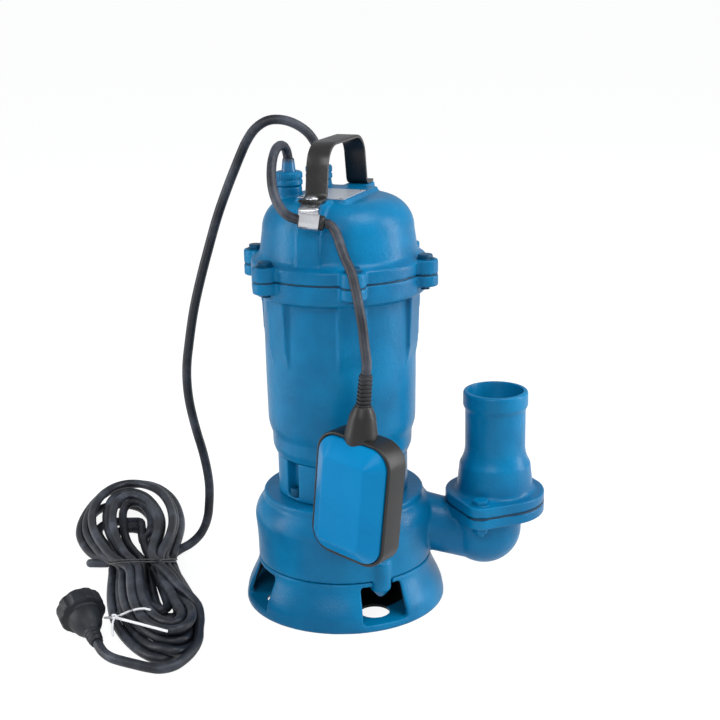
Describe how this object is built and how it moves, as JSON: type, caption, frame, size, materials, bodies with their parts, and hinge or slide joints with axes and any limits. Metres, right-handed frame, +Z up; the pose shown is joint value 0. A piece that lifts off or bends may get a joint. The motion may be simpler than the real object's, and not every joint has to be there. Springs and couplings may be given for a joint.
{
  "type": "submersible sump pump",
  "caption": "Submersible sump pump with a slotted cast foot, volute casing, side elbow with a vertical hose tail, domed motor housing, strap handle, float switch and coiled mains lead.",
  "frame": {"origin": "centre of the foot's underside, on the pump's axis, where the foot stands on the floor", "axes": "+Z up along the motor shaft, +X from the pump's axis to the hose tail, -Y is the front, where the float hangs"},
  "size_m": [0.4799, 0.4179, 0.4554],
  "materials": {
    "casting_paint": "glossy hammer-finish blue paint on cast iron",
    "painted_fixings": "steel bolts painted over with the castings",
    "dark_steel": "dark zinc-plated steel",
    "impeller_iron": "bare cast iron",
    "bright_steel": "bright steel",
    "plate_aluminium": "bare anodised plate",
    "lamination": "stacked electrical sheet",
    "winding": "varnished copper wire",
    "ceramic": "white ceramic seal face",
    "seal_rubber": "black nitrile rubber",
    "strap_black": "satin black coated steel strip",
    "lead_rubber": "dark grey rubber cable sheath",
    "plug_rubber": "moulded black rubber",
    "plug_brass": "nickel-plated brass pins",
    "tie_white": "white coated wire tie",
    "tie_black": "thin black tie",
    "float_black": "satin black polypropylene",
    "float_blue": "glossy blue polypropylene",
    "switch_plastic": "switch block",
    "capacitor_black": "black capacitor can"
  },
  "bodies": {
    "pump": {"foot": "casting_paint", "foot_screws": "dark_steel", "suction_plate": "casting_paint", "suction_plate_screws": "dark_steel", "pump_casing": "casting_paint", "casing_o_ring": "seal_rubber", "oil_chamber": "casting_paint", "chamber_screws": "painted_fixings", "seal_seat": "ceramic", "lip_seal": "seal_rubber", "motor_housing": "casting_paint", "housing_screws": "dark_steel", "lower_bearing_outer": "bright_steel", "upper_bearing_outer": "bright_steel", "stator_core": "lamination", "stator_windings": "winding", "bearing_carrier": "dark_steel", "capacitor": "capacitor_black", "cover_gasket": "seal_rubber", "top_cover": "casting_paint", "cover_bolts": "painted_fixings", "nameplate": "plate_aluminium", "nameplate_rivets": "bright_steel", "handle": "strap_black", "handle_screws": "bright_steel", "cable_clip": "bright_steel", "clip_sleeve": "seal_rubber", "float_gland_nut": "casting_paint", "mains_gland_nut": "casting_paint", "float_lead_boot": "seal_rubber", "mains_lead_boot": "seal_rubber", "float_lead_fixed": "lead_rubber", "mains_lead": "lead_rubber", "mains_hank": "lead_rubber", "mains_tail": "lead_rubber", "mains_plug": "plug_rubber", "plug_pins": "plug_brass", "hank_tie": "tie_white", "waist_tie": "tie_black", "outlet_gasket": "seal_rubber", "hose_tail": "casting_paint", "outlet_bolts": "painted_fixings", "outlet_nuts": "painted_fixings"},
    "rotor": {"shaft": "bright_steel", "rotor_core": "bright_steel", "lower_bearing_inner": "bright_steel", "upper_bearing_inner": "bright_steel", "lower_bearing_balls": "bright_steel", "upper_bearing_balls": "bright_steel", "seal_head": "bright_steel", "impeller": "impeller_iron", "impeller_nut": "bright_steel"},
    "float": {"float_lead_swing": "lead_rubber", "float_strain_relief": "seal_rubber", "float_shell": "float_black", "float_cover": "float_blue", "float_switch": "switch_plastic"},
    "float_ball": {"float_ball": "bright_steel"}
  },
  "joints": [
    {"name": "rotor_spin", "type": "hinge", "parent": "pump", "child": "rotor", "pos_m": [0, 0, 0.15], "axis": [0, 0, 1], "continuous": true},
    {"name": "float_swing", "type": "hinge", "parent": "pump", "child": "float", "pos_m": [-0.02382, -0.07674, 0.378], "axis": [-0.9839, 0.0861, 0.1564], "range_deg": [0, 110]},
    {"name": "float_ball_slide", "type": "slide", "parent": "float", "child": "float_ball", "axis": [0.0872, -0.0694, 0.9938], "range_m": [0, 0.0138]}
  ]
}
